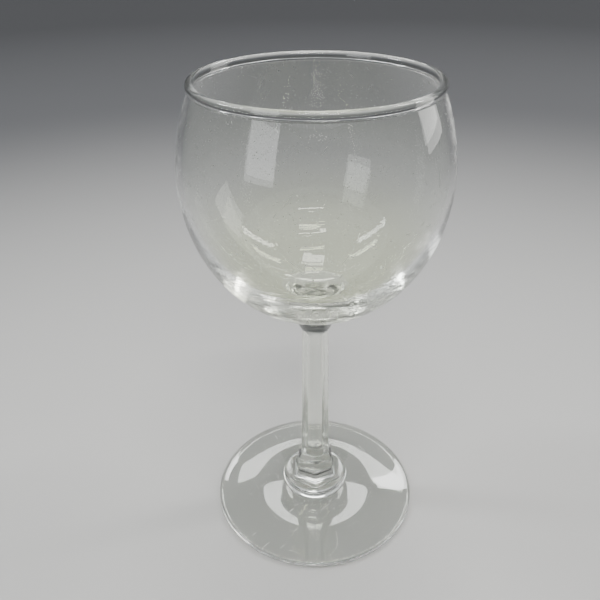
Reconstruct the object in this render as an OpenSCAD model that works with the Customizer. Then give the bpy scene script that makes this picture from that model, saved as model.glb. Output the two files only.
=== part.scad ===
// Balloon wine glass on a six-sided stem.
// Every piece is a turned or six-sided solid on the Z axis. The pieces are fused butt joints:
// each one starts on the flat face where the piece below it ends. One of the six edges of the
// stem points towards -Y. The origin is on the surface that the glass stands on.

/* [Foot] */
// Diameter of the foot
foot_d = 73; // [58:0.5:90]
// Thickness of the foot at its rounded edge
foot_edge_t = 2; // [1.5:0.1:3]
// Height of the foot at its middle, where the knop is fused on
foot_h = 5; // [4:0.1:7]
// Height of the hollow under the foot
foot_dish = 1.2; // [0.4:0.1:2]
// Width of the flat ring that the glass stands on
rest_ring_w = 1.6; // [1:0.1:6]

/* [Knop] */
// Diameter of the round knop
knop_d = 23.8; // [19.6:0.2:30]
// Height of the knop
knop_h = 5; // [3:0.1:8]
// How far the rounded edge of the knop stands out past its flat faces
knop_round = 1.4; // [0.8:0.1:2]

/* [Collar] */
// How far each flat of the collar stands out past the stem
collar_step = 1.2; // [0.6:0.1:1.5]
// Height of the straight six-sided band
collar_band_h = 3.4; // [2:0.1:6]
// Height of the slope from the stem out to the band
collar_shoulder_h = 1.9; // [1:0.1:3]
// Height of the hollow six-sided sweep from the band down to the knop
collar_sweep_h = 5.2; // [3:0.1:8]
// Thickness of the sweep where it ends on the knop
sweep_lip_t = 0.4; // [0.2:0.1:1]

/* [Stem] */
// Length of the plain shaft, from the collar to the trumpet
stem_len = 52.5; // [30:0.5:90]
// Width of the shaft across its flats at the collar
stem_foot_af = 10; // [8:0.1:12]
// Width of the shaft across its flats under the trumpet
stem_top_af = 8.6; // [7:0.1:12]
// Height of the trumpet under the bowl
trumpet_h = 11.3; // [9:0.1:16]
// Diameter of the fused joint between the trumpet and the bowl
trumpet_d = 24; // [20:0.5:29]

/* [Bowl] */
// Largest outside diameter of the bowl
bowl_d = 79.4; // [60:0.2:100]
// Height from the lowest point of the round outside up to the widest level
bowl_lower_h = 45.3; // [34:0.1:60]
// Height from the widest level up to the top of the rim
bowl_upper_h = 27.5; // [18:0.1:45]
// Wall at the widest level
bowl_wall_t = 1.7; // [1.2:0.1:3]
// Glass under the middle of the inside
bowl_floor_t = 5; // [3.5:0.1:7]

/* [Rim] */
// Outside diameter of the bead
rim_d = 70; // [52:0.2:90]
// Thickness of the bead
rim_bead_t = 2.4; // [2:0.1:3.2]
// Wall of the bowl just under the bead
rim_wall_t = 1.4; // [1:0.1:1.8]
// Radius of the hollow on each side where the bead narrows to the wall
rim_neck_r = 1.5; // [0.8:0.1:3]

/* [Hidden] */

// Segments of a full turn, and points along each curve of an outline
$fn = 96;
curve_steps = 24;
small_curve_steps = 12;

// Sides of the stem and the collar, and half an angle between two of their edges
sides = 6;
half_side = 180 / sides;
edge_to_front = -90;

// How far inside the flats of the shaft the round trumpet starts
trumpet_root = 0.3;

// How steeply the foot climbs towards the knop
foot_climb = 1.6;

// How fast the trumpet opens where it leaves the shaft: its radius gained for each mm of height
trumpet_start = 0.45;

// Radii that two pieces share
knop_face_r = knop_d / 2 - knop_round;
trumpet_r = trumpet_d / 2;
bowl_r = bowl_d / 2;
bead_r = rim_bead_t / 2;
bead_ring_r = rim_d / 2 - bead_r;
collar_af = stem_foot_af + 2 * collar_step;

// The corners of the sweep end on the edge of the knop's flat face
sweep_af = 2 * knop_face_r * cos(half_side);

// Heights of the fused joints, from the standing surface up
knop_z = foot_h;
collar_z = knop_z + knop_h;
band_z = collar_z + collar_sweep_h;
shoulder_z = band_z + collar_band_h;
stem_z = shoulder_z + collar_shoulder_h;
trumpet_z = stem_z + stem_len;
bowl_z = trumpet_z + trumpet_h;

// The round outside of the bowl is cut flat at the joint, a little above its lowest point.
// The trumpet ends at the bowl's own slope there: the height gained for each mm of radius
joint_cos = sqrt(1 - pow(trumpet_r / bowl_r, 2));
joint_cut = bowl_lower_h * (1 - joint_cos);
joint_slope = bowl_lower_h / bowl_r * trumpet_r / bowl_r / joint_cos;
widest_z = bowl_z - joint_cut + bowl_lower_h;
rim_z = widest_z + bowl_upper_h;

// The bead narrows through a neck, which touches both the bead and the wall without a corner
bead_z = rim_z - bead_r;
neck_x = rim_wall_t / 2 + rim_neck_r;
neck_drop = sqrt(pow(bead_r + rim_neck_r, 2) - pow(neck_x, 2));
bowl_top_z = bead_z - neck_drop;

// Colours of the clear glass, fullest where the glass is thickest
thin_glass = [0.90, 0.93, 0.89, 0.45];
thick_glass = [0.82, 0.87, 0.78, 0.60];

function corner_r(across_flats) = across_flats / 2 / cos(half_side);

// Points of an ellipse's arc about [cx, cz], from angle a0 to angle a1
function arc(cx, cz, rx, rz, a0, a1, steps) =
    [for (i = [0 : steps]) let (a = a0 + (a1 - a0) * i / steps) [cx + rx * cos(a), cz + rz * sin(a)]];

// Points of a curve that leaves p0 towards p1 and arrives at p2 from p1
function bend(p0, p1, p2, steps) =
    [for (i = [0 : steps]) let (t = i / steps) (1 - t) * (1 - t) * p0 + 2 * t * (1 - t) * p1 + t * t * p2];

// A six-sided length of the shaft, with one edge to the front
module six_sided(z, h, bottom_af, top_af) {
    translate([0, 0, z])
        rotate([0, 0, edge_to_front])
            cylinder(h = h, r1 = corner_r(bottom_af), r2 = corner_r(top_af), $fn = sides);
}

// Disc with a rounded edge, a hollow underside and a top that climbs to the knop
module foot() {
    edge_r = foot_edge_t / 2;
    edge_x = foot_d / 2 - edge_r;
    hollow_r = edge_x - rest_ring_w;
    underside = [for (i = [0 : curve_steps]) let (t = i / curve_steps)
        [hollow_r * t, foot_dish * (1 - t * t)]];
    top = [for (i = [1 : curve_steps]) let (t = i / curve_steps)
        [edge_x + (knop_face_r - edge_x) * t, foot_edge_t + (foot_h - foot_edge_t) * pow(t, foot_climb)]];
    color(thick_glass)
        rotate_extrude()
            polygon(concat(underside, arc(edge_x, edge_r, edge_r, edge_r, -90, 90, small_curve_steps),
                top, [[0, foot_h]]));
}

// Round button with a full, rounded edge
module knop() {
    color(thick_glass)
        rotate_extrude()
            polygon(concat([[0, knop_z]],
                arc(knop_face_r, knop_z + knop_h / 2, knop_round, knop_h / 2, -90, 90, small_curve_steps),
                [[0, collar_z]]));
}

// Six-sided band between a sloped shoulder and a hollow sweep, cut to one outline on all three pairs of sides
module collar() {
    sweep_r = sweep_af / 2;
    side = concat([[sweep_r, collar_z]],
        arc(sweep_r, band_z, sweep_r - collar_af / 2, collar_sweep_h - sweep_lip_t, 270, 180,
            small_curve_steps),
        [[collar_af / 2, shoulder_z], [stem_foot_af / 2, stem_z]]);
    other_side = [for (i = [len(side) - 1 : -1 : 0]) [-side[i].x, side[i].y]];
    color(thick_glass)
        intersection_for (pair = [0 : sides / 2 - 1])
            rotate([90, 0, pair * 2 * half_side])
                linear_extrude(height = 2 * knop_d, center = true)
                    polygon(concat(side, other_side));
}

// Tapered six-sided shaft that opens into a round trumpet under the bowl
module stem() {
    root = [stem_top_af / 2 - trumpet_root, trumpet_z];
    joint = [trumpet_r, bowl_z];
    bend_r = (root.x + trumpet_start * (trumpet_h - joint_slope * trumpet_r))
        / (1 - trumpet_start * joint_slope);
    bend_point = [bend_r, bowl_z - joint_slope * (trumpet_r - bend_r)];
    outline = concat([[0, trumpet_z]], bend(root, bend_point, joint, curve_steps), [[0, bowl_z]]);
    color(thick_glass)
        union() {
            six_sided(stem_z, stem_len, stem_foot_af, stem_top_af);
            six_sided(trumpet_z, trumpet_h, stem_top_af, stem_top_af);
            rotate_extrude()
                polygon(outline);
        }
}

// Blown shell: half an ellipse below the widest level, drawn in to the rim above it
module bowl() {
    floor_z = widest_z - bowl_lower_h + bowl_floor_t;
    joint_angle = acos(trumpet_r / bowl_r);
    outer_top_r = bead_ring_r + rim_wall_t / 2;
    inner_r = bowl_r - bowl_wall_t;
    inner_top_r = bead_ring_r - rim_wall_t / 2;
    upper_h = bowl_top_z - widest_z;
    outer_upper = [for (i = [1 : curve_steps]) let (t = i / curve_steps)
        [bowl_r + (outer_top_r - bowl_r) * t * t, widest_z + upper_h * t]];
    inner_upper = [for (i = [0 : curve_steps - 1]) let (t = 1 - i / curve_steps)
        [inner_r + (inner_top_r - inner_r) * t * t, widest_z + upper_h * t]];
    color(thin_glass)
        rotate_extrude()
            polygon(concat([[0, bowl_z]],
                arc(0, widest_z, bowl_r, bowl_lower_h, -joint_angle, 0, curve_steps), outer_upper,
                inner_upper, arc(0, widest_z, inner_r, widest_z - floor_z, 0, -90, curve_steps)));
}

// Round bead with a neck, flat underneath where it meets the wall of the bowl
module rim_bead() {
    neck_angle = atan(neck_drop / neck_x);
    color(thin_glass)
        rotate_extrude()
            polygon(concat(
                arc(bead_ring_r + neck_x, bowl_top_z, rim_neck_r, rim_neck_r, 180, 180 - neck_angle,
                    small_curve_steps),
                arc(bead_ring_r, bead_z, bead_r, bead_r, -neck_angle, 180 + neck_angle, curve_steps),
                arc(bead_ring_r - neck_x, bowl_top_z, rim_neck_r, rim_neck_r, neck_angle, 0,
                    small_curve_steps)));
}

foot();
knop();
collar();
stem();
bowl();
rim_bead();
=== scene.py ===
import math

import bmesh
import bpy
from mathutils import Matrix, Vector


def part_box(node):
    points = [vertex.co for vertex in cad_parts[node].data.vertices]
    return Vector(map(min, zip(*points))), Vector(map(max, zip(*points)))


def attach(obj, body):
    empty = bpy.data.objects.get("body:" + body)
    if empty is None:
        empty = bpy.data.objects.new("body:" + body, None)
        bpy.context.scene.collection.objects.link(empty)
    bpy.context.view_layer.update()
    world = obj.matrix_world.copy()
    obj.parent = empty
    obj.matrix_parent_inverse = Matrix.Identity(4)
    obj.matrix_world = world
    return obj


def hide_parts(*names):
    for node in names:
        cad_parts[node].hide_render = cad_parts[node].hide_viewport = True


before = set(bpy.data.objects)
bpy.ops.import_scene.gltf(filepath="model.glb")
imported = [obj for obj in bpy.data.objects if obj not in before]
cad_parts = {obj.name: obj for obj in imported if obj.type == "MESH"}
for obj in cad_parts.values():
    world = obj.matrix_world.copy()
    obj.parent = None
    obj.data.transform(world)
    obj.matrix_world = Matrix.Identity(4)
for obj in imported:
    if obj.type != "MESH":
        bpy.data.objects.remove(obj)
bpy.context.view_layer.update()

mm = 0.001
roundSteps = 192      # segments of a full turn, the same on every piece so that the joints line up
near = 0.004 * mm     # two places closer than this are the same place


def lowest(node):
    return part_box(node)[0]


def highest(node):
    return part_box(node)[1]


# camera, held close to the glass and a little above its rim
cameraSet = {
    "distance": 181.7 * mm,   # from the axis of the glass, along the floor
    "height": 195.8 * mm,
    "azimuth": -2.5,          # degrees round the glass, so that a stem edge is just off the middle
    "tilt": 31.4,             # degrees below level
    "pan": 1.55,
    "roll": -0.63,
    "lens": 39.67,
    "sensor": 36,
    "nearest": 0.01,          # metres
    "farthest": 20,
}


def placeCamera(look):
    bpy.ops.object.camera_add()
    camera = bpy.context.object
    camera.name = "camera"
    around = math.radians(look["azimuth"])
    turn = Matrix.Rotation(around + math.radians(look["pan"]), 4, "Z")
    tilt = Matrix.Rotation(math.radians(90 - look["tilt"]), 4, "X")
    roll = Matrix.Rotation(math.radians(look["roll"]), 4, "Z")
    place = Vector((math.sin(around), -math.cos(around), 0)) * look["distance"]
    place.z = look["height"]
    camera.matrix_world = Matrix.Translation(place) @ turn @ tilt @ roll
    camera.data.lens = look["lens"]
    camera.data.sensor_width = look["sensor"]
    camera.data.clip_start = look["nearest"]
    camera.data.clip_end = look["farthest"]
    bpy.context.scene.camera = camera


placeCamera(cameraSet)
print("camera placed")


# from here on, each helper is one thing done by hand in edit mode

def addRound(name, radius, centre, sides, standing=False, filled=False):
    # a new piece that starts as a circle, lying flat or standing on edge in the XZ plane
    bpy.ops.object.select_all(action="DESELECT")
    bpy.ops.mesh.primitive_circle_add(
        vertices=sides,
        radius=radius,
        fill_type="NGON" if filled else "NOTHING",
        location=centre,
        rotation=(math.pi / 2 if standing else 0, 0, 0),
    )
    piece = bpy.context.object
    piece.name = name
    piece.data.name = name
    bpy.ops.object.transform_apply(location=True, rotation=True, scale=True)
    bpy.ops.object.mode_set(mode="EDIT")
    bpy.ops.mesh.select_mode(type="VERT")
    bpy.ops.mesh.select_all(action="SELECT")
    return piece


def pickPoints(piece, test):
    # selects the points whose place passes the test, and nothing else
    bpy.ops.mesh.select_mode(type="VERT")
    bpy.ops.mesh.select_all(action="DESELECT")
    mesh = bmesh.from_edit_mesh(piece.data)
    for point in mesh.verts:
        point.select = test(point.co)
    mesh.select_flush_mode()
    bmesh.update_edit_mesh(piece.data)


def pickEdges(piece, test):
    bpy.ops.mesh.select_mode(type="EDGE")
    bpy.ops.mesh.select_all(action="DESELECT")
    mesh = bmesh.from_edit_mesh(piece.data)
    for edge in mesh.edges:
        edge.select = test(edge.verts[0].co, edge.verts[1].co)
    mesh.select_flush_mode()
    bmesh.update_edit_mesh(piece.data)


def pickFaces(piece, test):
    bpy.ops.mesh.select_mode(type="FACE")
    bpy.ops.mesh.select_all(action="DESELECT")
    mesh = bmesh.from_edit_mesh(piece.data)
    for face in mesh.faces:
        face.select = test(face.calc_center_median(), face.normal)
    mesh.select_flush_mode()
    bmesh.update_edit_mesh(piece.data)


def pickRing(piece, z, reach=1.0):
    # the edges that lie at one height, within reach of the axis
    def onRing(at):
        return abs(at.z - z) < near and at.xy.length < reach

    pickEdges(piece, lambda a, b: onRing(a) and onRing(b))


def dropPoints(piece, test):
    pickPoints(piece, test)
    bpy.ops.mesh.delete(type="VERT")


def pullOut(piece, start, places):
    # extrudes a line from the point nearest to start through each place, in the XZ plane
    mesh = bmesh.from_edit_mesh(piece.data)
    aim = Vector((start[0], 0, start[1]))
    found = min(mesh.verts, key=lambda point: (point.co - aim).length).co.copy()
    pickPoints(piece, lambda at: (at - found).length < near)
    here = (found.x, found.z)
    for there in places:
        step = (there[0] - here[0], 0, there[1] - here[1])
        bpy.ops.mesh.extrude_region_move(TRANSFORM_OT_translate={"value": step})
        here = there


def turnRound():
    # spins the outline into a solid, merges what lies on the axis and points every face outwards
    bpy.ops.mesh.select_all(action="SELECT")
    bpy.ops.mesh.spin(steps=roundSteps, angle=2 * math.pi, center=(0, 0, 0), axis=(0, 0, 1))
    bpy.ops.mesh.select_all(action="SELECT")
    bpy.ops.mesh.remove_doubles(threshold=near)
    bpy.ops.mesh.normals_make_consistent(inside=False)


def growRings(fromR, fromZ, rings):
    # extrudes the selected ring to each height in turn and sizes it about the axis there
    hereR, hereZ = fromR, fromZ
    for newR, newZ in rings:
        bpy.ops.mesh.extrude_region_move(TRANSFORM_OT_translate={"value": (0, 0, newZ - hereZ)})
        scale = newR / hereR
        bpy.ops.transform.resize(value=(scale, scale, 1), center_override=(0, 0, newZ))
        hereR, hereZ = newR, newZ


def closeUp(piece, levels):
    # caps the ring at each height and points every face outwards
    for z in levels:
        pickRing(piece, z)
        bpy.ops.mesh.edge_face_add()
    bpy.ops.mesh.select_all(action="SELECT")
    bpy.ops.mesh.normals_make_consistent(inside=False)


def softenRing(piece, z, width, segments):
    pickRing(piece, z)
    bpy.ops.mesh.bevel(offset=width, segments=segments, affect="EDGES", profile=0.5)


def ovalPlaces(cx, cz, rx, rz, first, last, count):
    # places on an oval from one angle to another, in degrees, the first one left out
    turns = [math.radians(first + (last - first) * i / count) for i in range(1, count + 1)]
    return [(cx + rx * math.cos(a), cz + rz * math.sin(a)) for a in turns]


def bendPlaces(p0, p1, p2, count):
    # places on a curve that leaves p0 towards p1 and arrives at p2 from p1
    places = []
    for i in range(1, count + 1):
        t = i / count
        places.append(tuple((1 - t) ** 2 * a + 2 * t * (1 - t) * b + t * t * c
                            for a, b, c in zip(p0, p1, p2)))
    return places


def smoothRise(value, low, high):
    # 0 below low, 1 above high, eased in between
    t = min(max((value - low) / (high - low), 0), 1)
    return t * t * (3 - 2 * t)


# stage: a pale round floor that sweeps up into the backdrop. Its colour holds painted light: a painted pool
# of light round the glass, and painted shade that darkens the paper and the wall away from it
stageSet = {
    "gap": 0.05 * mm,         # the paper lies this far under the glass, so that light gets between them
    "flatRadius": 1.15,       # metres
    "bendRadius": 0.45,
    "wallTop": 0.95,
    "sides": 96,
    "bendSteps": 12,
    # paper colour inside the painted pool of light, and the painted shade it turns to far from the glass
    "paleInPaintedPool": (0.46, 0.457, 0.449),
    "far": (0.13, 0.132, 0.137),
    "paintedPoolCentre": (0, -0.13, 0),  # the middle of the painted pool of light on the floor, a little in front of the glass
    "paintedFalloffStart": 0.14,           # metres from there at which painted shade starts to darken the paper
    "farFrom": 0.72,
    "roughness": 0.85,
    "shine": 0.15,
    "skyColour": (0.90, 0.92, 0.95),
    "skyStrength": 0.70,
}


def makeStagePaperWithPaintedPool(look):
    finish = bpy.data.materials.new("stagePaperWithPaintedPool")
    finish.use_nodes = True
    nodes, links = finish.node_tree.nodes, finish.node_tree.links
    shader = nodes["Principled BSDF"]
    shader.inputs["Roughness"].default_value = look["roughness"]
    shader.inputs["Specular IOR Level"].default_value = look["shine"]
    # painted light: the base colour goes from pale near the glass to dark farther out, a painted pool of
    # light with painted shade round it rather than a lamp's falloff
    where = nodes.new("ShaderNodeTexCoord")
    away = nodes.new("ShaderNodeVectorMath")
    away.operation = "DISTANCE"
    away.inputs[1].default_value = look["paintedPoolCentre"]
    paintedFalloff = nodes.new("ShaderNodeMapRange")
    paintedFalloff.interpolation_type = "SMOOTHSTEP"
    paintedFalloff.inputs["From Min"].default_value = look["paintedFalloffStart"]
    paintedFalloff.inputs["From Max"].default_value = look["farFrom"]
    blend = nodes.new("ShaderNodeMix")
    blend.data_type = "RGBA"
    blend.inputs["A"].default_value = (*look["paleInPaintedPool"], 1)
    blend.inputs["B"].default_value = (*look["far"], 1)
    links.new(where.outputs["Object"], away.inputs[0])
    links.new(away.outputs["Value"], paintedFalloff.inputs["Value"])
    links.new(paintedFalloff.outputs["Result"], blend.inputs["Factor"])
    links.new(blend.outputs["Result"], shader.inputs["Base Color"])
    return finish


def makeStage(look):
    r, bend, level = look["flatRadius"], look["bendRadius"], -look["gap"]
    floor = addRound("floor", r, (0, 0, level), look["sides"])
    sweep = ovalPlaces(r, level + bend, bend, bend, -90, 0, look["bendSteps"])
    growRings(r, level, sweep + [(r + bend, look["wallTop"])])
    pickRing(floor, level, reach=2 * r)
    bpy.ops.mesh.edge_face_add()
    bpy.ops.object.mode_set(mode="OBJECT")
    bpy.ops.object.shade_smooth()
    floor.data.materials.append(makeStagePaperWithPaintedPool(look))


lampAim = (0, 0, 80 * mm)  # the middle of the glass

# soft boxes: name, width, height, place, watts and colour. The two low panels stand well to the sides
softBoxes = [
    ("overheadBox", 0.34, 0.34, (0.05, 0.30, 1.20), 3.2, (1.0, 0.99, 0.97)),
    ("leftBox", 0.12, 0.60, (-0.95, 0.15, 0.95), 4.5, (0.97, 0.99, 1.0)),
    ("rightBox", 0.12, 0.60, (0.95, 0.25, 0.95), 4.0, (1.0, 0.98, 0.95)),
    ("backBox", 0.70, 0.10, (0.10, 1.00, 1.00), 2.5, (1.0, 1.0, 1.0)),
    ("lowFrontStrip", 0.55, 0.05, (0.05, -0.80, 1.00), 3.5, (1.0, 0.99, 0.96)),
    ("highFrontStrip", 0.55, 0.05, (0.05, -0.40, 1.25), 3.5, (1.0, 0.99, 0.96)),
    ("lowRightPanel", 0.45, 0.50, (0.98, 0.28, 0.34), 1.6, (1.0, 0.99, 0.97)),
    ("lowLeftPanel", 0.45, 0.50, (-0.74, -0.72, 0.34), 1.6, (0.98, 0.99, 1.0)),
]


def addSoftBox(name, width, height, place, watts, colour):
    bpy.ops.object.light_add(type="AREA", location=place)
    lamp = bpy.context.object
    lamp.name = name
    lamp.data.shape = "RECTANGLE"
    lamp.data.size = width
    lamp.data.size_y = height
    lamp.data.energy = watts
    lamp.data.color = colour
    aim = Vector(lampAim) - Vector(place)
    lamp.rotation_euler = aim.to_track_quat("-Z", "Y").to_euler()


def makeSky(look):
    sky = bpy.data.worlds.new("studioSky")
    bpy.context.scene.world = sky
    sky.use_nodes = True
    back = sky.node_tree.nodes["Background"]
    back.inputs["Color"].default_value = (*look["skyColour"], 1)
    back.inputs["Strength"].default_value = look["skyStrength"]


makeStage(stageSet)
for box in softBoxes:
    addSoftBox(*box)
makeSky(stageSet)
glassBounces = 80  # light runs far round inside thick glass
jointBounces = 32  # passes through the see-through fused joints
cycles = bpy.context.scene.cycles
cycles.max_bounces = glassBounces
cycles.transmission_bounces = glassBounces
cycles.glossy_bounces = glassBounces
cycles.transparent_max_bounces = jointBounces
bpy.context.scene.view_settings.look = "AgX - Medium High Contrast"
print("stage and lights placed")


wearKinds = ("Scratches", "Dust", "Smears", "Ripples", "Mould Lines")
wearSet = {
    # scratches: turn in degrees, length and width of a mark
    "scratches": [
        ((0, 32, 0), 14 * mm, 0.50 * mm),
        ((0, -50, 0), 11 * mm, 0.45 * mm),
        ((-38, 0, 0), 14 * mm, 0.50 * mm),
        ((90, 0, 25), 16 * mm, 0.45 * mm),
        ((90, 0, 130), 12 * mm, 0.45 * mm),
    ],
    "patch": 18 * mm,             # size of the patches that the scratches keep to
    "markBand": (0.80, 0.85),     # of the noise: higher is rarer
    "patchBand": (0.56, 0.62),
    "dustCells": (2.6 * mm, 1.3 * mm),
    "dustSize": (0.03, 0.07),     # of a cell, at the speck's middle and edge
    "dustBand": (0.78, 0.82),
    "smear": 28 * mm,
    "smearBand": (0.45, 0.75),
    "rippleLength": 30 * mm,
    "rippleSpacing": 1.3 * mm,
    "drawnWidth": 0.30 * mm,      # upright lines left on pressed glass by the mould
    "drawnLength": 30 * mm,
    # what each kind adds to the roughness, and to the height in millimetres
    "roughness": {"Scratches": 0.50, "Dust": 0.60, "Smears": 0.03, "Mould Lines": 0.35},
    "height": {"Scratches": 0.010, "Dust": 0.012, "Ripples": 0.03, "Mould Lines": 0.006},
}


def makeWear(look):
    # scratches, dust, smears, cooling ripples and mould lines, laid in the piece's own space.
    # Height comes out in millimetres
    group = bpy.data.node_groups.new("washedGlassWear", "ShaderNodeTree")
    sockets = group.interface
    for label in wearKinds:
        sockets.new_socket(name=label, in_out="INPUT", socket_type="NodeSocketFloat").default_value = 1
    sockets.new_socket(name="Roughness", in_out="OUTPUT", socket_type="NodeSocketFloat")
    sockets.new_socket(name="Height", in_out="OUTPUT", socket_type="NodeSocketFloat")
    nodes, links = group.nodes, group.links
    start = nodes.new("NodeGroupInput")
    end = nodes.new("NodeGroupOutput")
    where = nodes.new("ShaderNodeTexCoord")

    def sums(kind, one, other=0.0):
        node = nodes.new("ShaderNodeMath")
        node.operation = kind
        for socket, value in zip(node.inputs, (one, other)):
            if isinstance(value, (int, float)):
                socket.default_value = value
            else:
                links.new(value, socket)
        return node.outputs[0]

    def band(value, low, high, outLow=0.0, outHigh=1.0):
        node = nodes.new("ShaderNodeMapRange")
        node.interpolation_type = "SMOOTHSTEP"
        node.inputs["From Min"].default_value = low
        node.inputs["From Max"].default_value = high
        node.inputs["To Min"].default_value = outLow
        node.inputs["To Max"].default_value = outHigh
        links.new(value, node.inputs["Value"])
        return node.outputs["Result"]

    def grain(size, turn=(0, 0, 0), detail=0.0):
        # noise whose grains have this size along their own three directions
        place = nodes.new("ShaderNodeMapping")
        place.vector_type = "TEXTURE"
        place.inputs["Rotation"].default_value = [math.radians(t) for t in turn]
        place.inputs["Scale"].default_value = size
        links.new(where.outputs["Object"], place.inputs["Vector"])
        node = nodes.new("ShaderNodeTexNoise")
        node.inputs["Scale"].default_value = 1
        node.inputs["Detail"].default_value = detail
        links.new(place.outputs["Vector"], node.inputs["Vector"])
        return node.outputs["Fac"]

    scratches = 0.0
    for turn, length, width in look["scratches"]:
        marks = band(grain((width, width, length), turn), *look["markBand"])
        patch = band(grain([look["patch"]] * 3, turn), *look["patchBand"])
        scratches = sums("MAXIMUM", sums("MULTIPLY", marks, patch), scratches)

    dust = 0.0
    for cell in look["dustCells"]:
        specks = nodes.new("ShaderNodeTexVoronoi")
        specks.inputs["Scale"].default_value = 1 / cell
        links.new(where.outputs["Object"], specks.inputs["Vector"])
        chosen = nodes.new("ShaderNodeSeparateColor")
        links.new(specks.outputs["Color"], chosen.inputs["Color"])
        speck = band(specks.outputs["Distance"], *look["dustSize"], 1, 0)
        kept = band(chosen.outputs["Red"], *look["dustBand"])
        dust = sums("MAXIMUM", sums("MULTIPLY", speck, kept), dust)

    smears = band(grain([look["smear"]] * 3, detail=3), *look["smearBand"])
    length, spacing = look["rippleLength"], look["rippleSpacing"]
    ripples = sums("SUBTRACT", grain((length, length, spacing), detail=1), 0.5)
    width, length = look["drawnWidth"], look["drawnLength"]
    lines = sums("SUBTRACT", grain((width, width, length), detail=1), 0.5)

    scratches = sums("MULTIPLY", scratches, start.outputs["Scratches"])
    dust = sums("MULTIPLY", dust, start.outputs["Dust"])
    smears = sums("MULTIPLY", smears, start.outputs["Smears"])
    ripples = sums("MULTIPLY", ripples, start.outputs["Ripples"])
    lines = sums("MULTIPLY", lines, start.outputs["Mould Lines"])
    share = look["roughness"]
    rough = sums("MULTIPLY", scratches, share["Scratches"])
    rough = sums("ADD", rough, sums("MULTIPLY", dust, share["Dust"]))
    rough = sums("ADD", rough, sums("MULTIPLY", smears, share["Smears"]))
    rough = sums("ADD", rough, sums("MULTIPLY", sums("ABSOLUTE", lines), share["Mould Lines"]))
    links.new(rough, end.inputs["Roughness"])
    share = look["height"]
    high = sums("MULTIPLY", dust, share["Dust"])
    high = sums("SUBTRACT", high, sums("MULTIPLY", scratches, share["Scratches"]))
    high = sums("ADD", high, sums("MULTIPLY", ripples, share["Ripples"]))
    high = sums("ADD", high, sums("MULTIPLY", lines, share["Mould Lines"]))
    links.new(high, end.inputs["Height"])
    return group


glassBend = 1.52  # index of refraction of soda-lime glass


def makeGlass(name, look):
    finish = bpy.data.materials.new(name)
    finish.use_nodes = True
    nodes, links = finish.node_tree.nodes, finish.node_tree.links
    shader = nodes["Principled BSDF"]
    shader.inputs["Base Color"].default_value = (*look["tint"], 1)
    shader.inputs["Metallic"].default_value = 0.0
    shader.inputs["IOR"].default_value = glassBend
    shader.inputs["Transmission Weight"].default_value = 1.0
    wear = nodes.new("ShaderNodeGroup")
    wear.node_tree = washedWear
    for label in wearKinds:
        if label in look:
            wear.inputs[label].default_value = look[label]
    if "thickTint" in look:
        # low down the wall is thick: its own colour shows and the ripples are there
        where = nodes.new("ShaderNodeTexCoord")
        apart = nodes.new("ShaderNodeSeparateXYZ")
        thick = nodes.new("ShaderNodeMapRange")
        thick.interpolation_type = "SMOOTHSTEP"
        fadeFrom, fadeTo = look["thickFade"]
        thick.inputs["From Min"].default_value = fadeFrom
        thick.inputs["From Max"].default_value = fadeTo
        thick.inputs["To Min"].default_value = 1
        thick.inputs["To Max"].default_value = 0
        blend = nodes.new("ShaderNodeMix")
        blend.data_type = "RGBA"
        blend.inputs["A"].default_value = (*look["tint"], 1)
        blend.inputs["B"].default_value = (*look["thickTint"], 1)
        links.new(where.outputs["Object"], apart.inputs["Vector"])
        links.new(apart.outputs["Z"], thick.inputs["Value"])
        links.new(thick.outputs["Result"], wear.inputs["Ripples"])
        links.new(thick.outputs["Result"], blend.inputs["Factor"])
        links.new(blend.outputs["Result"], shader.inputs["Base Color"])
    bump = nodes.new("ShaderNodeBump")
    bump.inputs["Strength"].default_value = 1.0
    bump.inputs["Distance"].default_value = mm
    links.new(wear.outputs["Roughness"], shader.inputs["Roughness"])
    links.new(wear.outputs["Height"], bump.inputs["Height"])
    links.new(bump.outputs["Normal"], shader.inputs["Normal"])
    return finish


def makeFusedJoint():
    # where two pieces have run together there is no surface left to see
    finish = bpy.data.materials.new("fusedJoint")
    finish.use_nodes = True
    shader = finish.node_tree.nodes["Principled BSDF"]
    shader.inputs["Base Color"].default_value = (0.95, 0.97, 0.93, 1)
    shader.inputs["Transmission Weight"].default_value = 1.0
    shader.inputs["IOR"].default_value = glassBend
    shader.inputs["Roughness"].default_value = 0.0
    shader.inputs["Alpha"].default_value = 0.0
    return finish


washedWear = makeWear(wearSet)
blownGlass = makeGlass("blownGlass", {
    "tint": (0.984, 0.994, 0.976), "Scratches": 1.0, "Dust": 1.0, "Smears": 0.6,
    "Mould Lines": 0.0, "thickTint": (0.885, 0.918, 0.755), "thickFade": (92 * mm, 120 * mm)})
pressedGlass = makeGlass("pressedGlass", {
    "tint": (0.962, 0.980, 0.930), "Scratches": 0.5, "Dust": 0.8, "Smears": 0.4, "Ripples": 0.1,
    "Mould Lines": 1.0})
footGlass = makeGlass("footGlass", {
    "tint": (0.974, 0.988, 0.960), "Scratches": 0.8, "Dust": 1.0, "Smears": 0.4, "Ripples": 0.0,
    "Mould Lines": 0.0})
rimGlass = makeGlass("rimGlass", {
    "tint": (0.975, 0.990, 0.965), "Scratches": 0.2, "Dust": 0.3, "Smears": 0.2, "Ripples": 0.0,
    "Mould Lines": 0.0})
fusedJoint = makeFusedJoint()
print("glass finishes made")


creaseAngle = math.radians(32)  # edges sharper than this stay sharp
levelFace = 0.999               # a face counts as level when this much of its normal is upright


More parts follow.
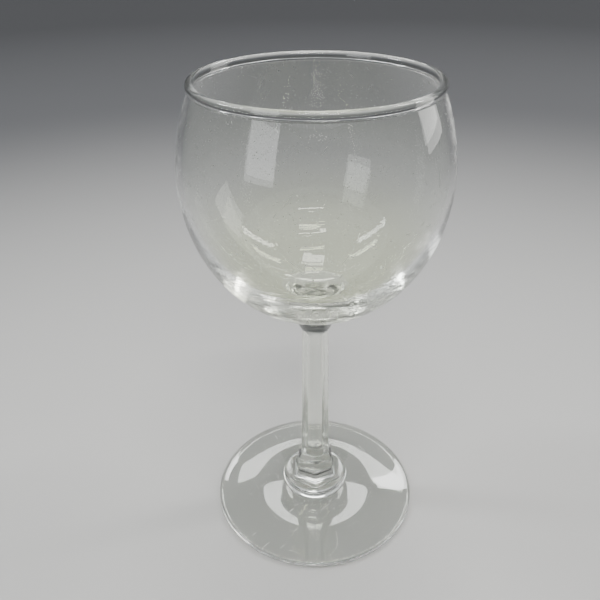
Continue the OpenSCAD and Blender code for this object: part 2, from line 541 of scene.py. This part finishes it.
def finishPiece(piece, node, finish, joints):
    # gives the piece its glass, marks its fused joints (height, reach) and hands it to the frame
    piece.data.materials.append(finish)
    piece.data.materials.append(fusedJoint)

    def isJoint(centre, normal):
        return abs(normal.z) > levelFace and any(
            abs(centre.z - z) < near and centre.xy.length < reach for z, reach in joints)

    pickFaces(piece, isJoint)
    piece.active_material_index = 1
    bpy.ops.object.material_slot_assign()
    bpy.ops.mesh.select_all(action="DESELECT")
    bpy.ops.object.mode_set(mode="OBJECT")
    bpy.ops.object.shade_smooth_by_angle(angle=creaseAngle)
    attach(piece, "root")
    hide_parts(node)
    print(piece.name, "made,", len(piece.data.polygons), "faces")


# foot: a pressed disc, rounded at its edge and hollow underneath
footSet = {
    "edgeThickness": 2.0 * mm,
    "restRing": 1.6 * mm,     # width of the flat ring it stands on
    "hollow": 1.2 * mm,
    "climb": 1.6,             # how late the top starts to rise towards the knop
    "edgePoints": 32,
    "curvePoints": 40,
}


def makeFoot(look, jointR):
    bottom, top = lowest("foot").z, highest("foot").z
    half = look["edgeThickness"] / 2
    edgeX = highest("foot").x - half
    hollowX = edgeX - look["restRing"]
    rise = top - bottom - look["edgeThickness"]
    foot = addRound("footDisc", half, (edgeX, 0, bottom + half), look["edgePoints"], standing=True)
    dropPoints(foot, lambda at: at.x < edgeX - near)
    under, over = [], []
    for i in range(look["curvePoints"] + 1):
        t = i / look["curvePoints"]
        under.append((hollowX * (1 - t), bottom + look["hollow"] * (1 - (1 - t) ** 2)))
        over.append((edgeX + (jointR - edgeX) * t, top - rise + rise * t ** look["climb"]))
    pullOut(foot, (edgeX, bottom), under)
    pullOut(foot, over[0], over[1:] + [(0, top)])
    turnRound()
    finishPiece(foot, "foot", footGlass, [(top, jointR)])


# six-sided outline of the stem, the collar and the knop's top
sixSet = {
    "sides": 6,
    "cutBack": 0.055,         # of the flats: how far a corner is cut back along its sides, then rounded
    "cornerSegments": 6,
    "flatCuts": 25,           # 6 x (7 corner points + 25 on the flat) is roundSteps
    "flatShare": 0.25,        # of the flats: an edge longer than this is a flat, not part of a corner
}


def toCorner(flats):
    return flats / 2 / math.cos(math.pi / sixSet["sides"])


def softenSix(piece, flats, z):
    # rounds the corners of the selected six-sided face, takes the face out and cuts its flats finely
    bpy.ops.mesh.bevel(
        offset=sixSet["cutBack"] * flats,
        segments=sixSet["cornerSegments"],
        affect="VERTICES",
        profile=0.5,
    )
    pickFaces(piece, lambda centre, normal: abs(centre.z - z) < near and centre.xy.length < near)
    bpy.ops.mesh.delete(type="ONLY_FACE")
    shortest = sixSet["flatShare"] * flats
    pickEdges(piece, lambda a, b: abs(a.z - z) < near and abs(b.z - z) < near and (a - b).length > shortest)
    bpy.ops.mesh.subdivide(number_cuts=sixSet["flatCuts"])


def addSixSided(name, flats, z):
    # a new piece that starts as the soft-cornered ring, with one corner to the front
    piece = addRound(name, toCorner(flats), (0, 0, z), sixSet["sides"], filled=True)
    softenSix(piece, flats, z)
    pickRing(piece, z)
    return piece


# knop: a round button with a full edge, and the collar's six-sided foot let into its top
knopSet = {
    "standsOut": 1.4 * mm,    # how far the edge stands out past the flat faces
    "edgePoints": 64,
    "jointReach": 0.5 * mm,   # only the face under the collar has its middle this near the axis
    "cornerGap": 0.02 * mm,   # the collar's corners end at least this far inside the knop's flat face
}


def makeKnop(look, jointR):
    bottom, top = lowest("knop").z, highest("knop").z
    middle, half = (bottom + top) / 2, (top - bottom) / 2
    flats = 2 * highest("collar").x
    knop = addRound("knopButton", half, (jointR, 0, middle), look["edgePoints"], standing=True)
    bpy.ops.transform.resize(value=(look["standsOut"] / half, 1, 1), center_override=(jointR, 0, middle))
    dropPoints(knop, lambda at: at.x < jointR - near)
    pullOut(knop, (jointR, bottom), [(0, bottom)])
    turnRound()
    bpy.ops.mesh.select_all(action="DESELECT")
    bpy.ops.mesh.primitive_circle_add(
        vertices=sixSet["sides"], radius=toCorner(flats), fill_type="NGON", location=(0, 0, top))
    softenSix(knop, flats, top)
    pickRing(knop, top)
    bpy.ops.mesh.bridge_edge_loops()
    pickRing(knop, top, reach=jointR - look["cornerGap"])
    bpy.ops.mesh.edge_face_add()
    bpy.ops.mesh.select_all(action="SELECT")
    bpy.ops.mesh.normals_make_consistent(inside=False)
    finishPiece(knop, "knop", pressedGlass, [(bottom, jointR), (top, look["jointReach"])])


# collar: sloped shoulder, straight band and hollow sweep, all six-sided
collarSet = {
    "topFlats": 10.0 * mm,
    "bandFlats": 12.4 * mm,
    "shoulder": 1.9 * mm,     # heights
    "band": 3.4 * mm,
    "lip": 0.4 * mm,
    "sweepPoints": 24,
    "bandSoftness": 0.28 * mm,
    "bandSegments": 4,
    "lipSoftness": 0.14 * mm,
    "lipSegments": 3,
}


def makeCollar(look):
    bottom, top = lowest("collar").z, highest("collar").z
    footR, bandR = highest("collar").x, look["bandFlats"] / 2
    bandTop = top - look["shoulder"]
    bandEnd = bandTop - look["band"]
    lipTop = bottom + look["lip"]
    collar = addSixSided("sixSidedCollar", look["topFlats"], top)
    sweep = ovalPlaces(footR, bandEnd, footR - bandR, bandEnd - lipTop, 180, 270, look["sweepPoints"])
    growRings(look["topFlats"] / 2, top, [(bandR, bandTop), (bandR, bandEnd)] + sweep + [(footR, bottom)])
    closeUp(collar, (bottom, top))
    softenRing(collar, bandTop, look["bandSoftness"], look["bandSegments"])
    softenRing(collar, lipTop, look["lipSoftness"], look["lipSegments"])
    finishPiece(collar, "collar", pressedGlass, [(bottom, footR), (top, footR)])


# stem: a tapered six-sided shaft that turns round as it opens into the trumpet
stemSet = {
    "footFlats": 10.0 * mm,
    "topFlats": 8.6 * mm,
    "trumpetHeight": 11.3 * mm,
    "trumpetRadius": 12.0 * mm,
    "trumpetRoot": 0.3 * mm,  # how far inside the flats the round trumpet starts
    "opening": 0.45,          # radius gained for each bit of height where the trumpet starts
    "arrival": 0.362,         # height gained for each bit of radius at the bowl
    "shaftRings": 30,
    "trumpetRings": 48,
}


def ringRadii(piece, z):
    mesh = bmesh.from_edit_mesh(piece.data)
    return [point.co.xy.length for point in mesh.verts if abs(point.co.z - z) < near]


def makeStem(look):
    bottom, top = lowest("stem").z, highest("stem").z
    footR, shaftR, endR = look["footFlats"] / 2, look["topFlats"] / 2, look["trumpetRadius"]
    shaftTop = top - look["trumpetHeight"]
    stem = addSixSided("stemShaft", look["footFlats"], bottom)
    shaft = []
    for i in range(1, look["shaftRings"] + 1):
        t = i / look["shaftRings"]
        shaft.append((footR + (shaftR - footR) * t, bottom + (shaftTop - bottom) * t))
    growRings(footR, bottom, shaft)

    rootR = shaftR - look["trumpetRoot"]
    bendR = rootR + look["opening"] * (look["trumpetHeight"] - look["arrival"] * endR)
    bendR /= 1 - look["opening"] * look["arrival"]
    bend = (bendR, top - look["arrival"] * (endR - bendR))
    sixRadii = ringRadii(stem, shaftTop)
    hereR, hereZ, hereRound = sum(sixRadii) / len(sixRadii), shaftTop, 0
    for newR, newZ in bendPlaces((rootR, shaftTop), bend, (endR, top), look["trumpetRings"]):
        filled = [max(r, newR) for r in sixRadii]  # the six-sided ring, filled out by the trumpet
        middleR = sum(filled) / len(filled)
        newRound = 1 - (max(filled) - min(filled)) / (max(sixRadii) - min(sixRadii))
        bpy.ops.mesh.extrude_region_move(TRANSFORM_OT_translate={"value": (0, 0, newZ - hereZ)})
        if hereRound < 1:
            share = (newRound - hereRound) / (1 - hereRound)
            bpy.ops.transform.tosphere(value=share, center_override=(0, 0, newZ))
        scale = middleR / hereR
        bpy.ops.transform.resize(value=(scale, scale, 1), center_override=(0, 0, newZ))
        hereR, hereZ, hereRound = middleR, newZ, newRound
    closeUp(stem, (bottom, top))
    finishPiece(stem, "stem", pressedGlass, [(bottom, 1), (top, 1)])


# bowl: a blown shell, thickest at its floor, drawn in above its widest level
bowlSet = {
    "lowerHeight": 45.3 * mm,   # from the lowest point of the round outside up to the widest level
    "wall": 1.7 * mm,
    "floor": 5.0 * mm,
    "rimWall": 1.4 * mm,
    "roundPoints": 256,         # points of the full oval that the lower outside is cut from
    "jointClear": 0.2 * mm,     # the oval keeps only points farther than this outside the joint
    "insidePoints": 240,
    "upperPoints": 28,
    "rippleHeight": 0.004 * mm,  # cooling ripples on the inside, low down
    "rippleSpacing": 1.7 * mm,
    "rippleIn": (14 * mm, 21 * mm),     # radii over which the ripples rise, and then fade
    "rippleOut": (28.8 * mm, 36 * mm),
    "ringHeight": 0.12 * mm,    # faint ring left on the inside floor
    "ringRadius": 8.5 * mm,
    "ringWidth": 0.45 * mm,
}


def makeBowl(look, jointR, rimR):
    bottom, top = lowest("bowl").z, highest("bowl").z
    bowlR, lowerH = highest("bowl").x, look["lowerHeight"]
    widestZ = bottom + lowerH * math.sqrt(1 - (jointR / bowlR) ** 2)
    insideR, insideH = bowlR - look["wall"], lowerH - look["floor"]
    outsideTopR, insideTopR = rimR + look["rimWall"] / 2, rimR - look["rimWall"] / 2
    bowl = addRound("bowlShell", bowlR, (0, 0, widestZ), look["roundPoints"], standing=True)
    bpy.ops.transform.resize(value=(1, 1, lowerH / bowlR), center_override=(0, 0, widestZ))
    dropPoints(bowl, lambda at: at.x < jointR + look["jointClear"] or at.z > widestZ + near)
    pullOut(bowl, (jointR, bottom), [(jointR, bottom), (0, bottom)])
    outside, inside = [], []
    for i in range(look["upperPoints"] + 1):
        t = i / look["upperPoints"]
        outside.append((bowlR + (outsideTopR - bowlR) * t * t, widestZ + (top - widestZ) * t))
        inside.append((insideR + (insideTopR - insideR) * t * t, widestZ + (top - widestZ) * t))
    inside.reverse()

    travelled, last = 0, inside[-1]
    for x, z in ovalPlaces(0, widestZ, insideR, insideH, 0, -90, look["insidePoints"]):
        travelled += math.dist(last, (x, z))
        last = (x, z)
        reach = smoothRise(x, *look["rippleIn"]) * (1 - smoothRise(x, *look["rippleOut"]))
        shift = look["rippleHeight"] * reach * math.sin(2 * math.pi * travelled / look["rippleSpacing"])
        shift -= look["ringHeight"] * math.exp(-((x - look["ringRadius"]) / look["ringWidth"]) ** 2)
        outward = Vector((x / insideR ** 2, (z - widestZ) / insideH ** 2)).normalized()
        inside.append((x + outward.x * shift, z + outward.y * shift))
    inside[-1] = (0, inside[-1][1])
    pullOut(bowl, outside[0], outside[1:] + inside)
    turnRound()
    finishPiece(bowl, "bowl", blownGlass, [(bottom, jointR), (top, bowlR)])


# rim bead: a fire-polished round bead that narrows through a neck to the wall
beadSet = {
    "radius": 1.2 * mm,
    "neckRadius": 1.5 * mm,
    "points": 64,
    "neckPoints": 10,
}


def makeRimBead(look, rimWall):
    bottom, top = lowest("rim_bead").z, highest("rim_bead").z
    r, neckR = look["radius"], look["neckRadius"]
    middleX, middleZ = highest("rim_bead").x - r, top - r
    neckX = rimWall / 2 + neckR
    neckTurn = math.acos(neckX / (r + neckR))
    touchX, touchZ = r * math.cos(neckTurn), middleZ - r * math.sin(neckTurn)
    bead = addRound("rimBead", r, (middleX, 0, middleZ), look["points"], standing=True)
    dropPoints(bead, lambda at: at.z < touchZ + near)
    for side in (1, -1):
        neck = ovalPlaces(middleX + side * neckX, bottom, -side * neckR, neckR,
                          math.degrees(neckTurn), 0, look["neckPoints"])
        touch = (middleX + side * touchX, touchZ)
        pullOut(bead, touch, [touch] + neck)
    pickPoints(bead, lambda at: at.z < bottom + near)
    bpy.ops.mesh.edge_face_add()
    turnRound()
    finishPiece(bead, "rim_bead", rimGlass, [(bottom, 1)])


knopFace = highest("knop").x - knopSet["standsOut"]
beadRing = highest("rim_bead").x - beadSet["radius"]
makeFoot(footSet, knopFace)
makeKnop(knopSet, knopFace)
makeCollar(collarSet)
makeStem(stemSet)
makeBowl(bowlSet, stemSet["trumpetRadius"], beadRing)
makeRimBead(beadSet, bowlSet["rimWall"])

print("all pieces made")
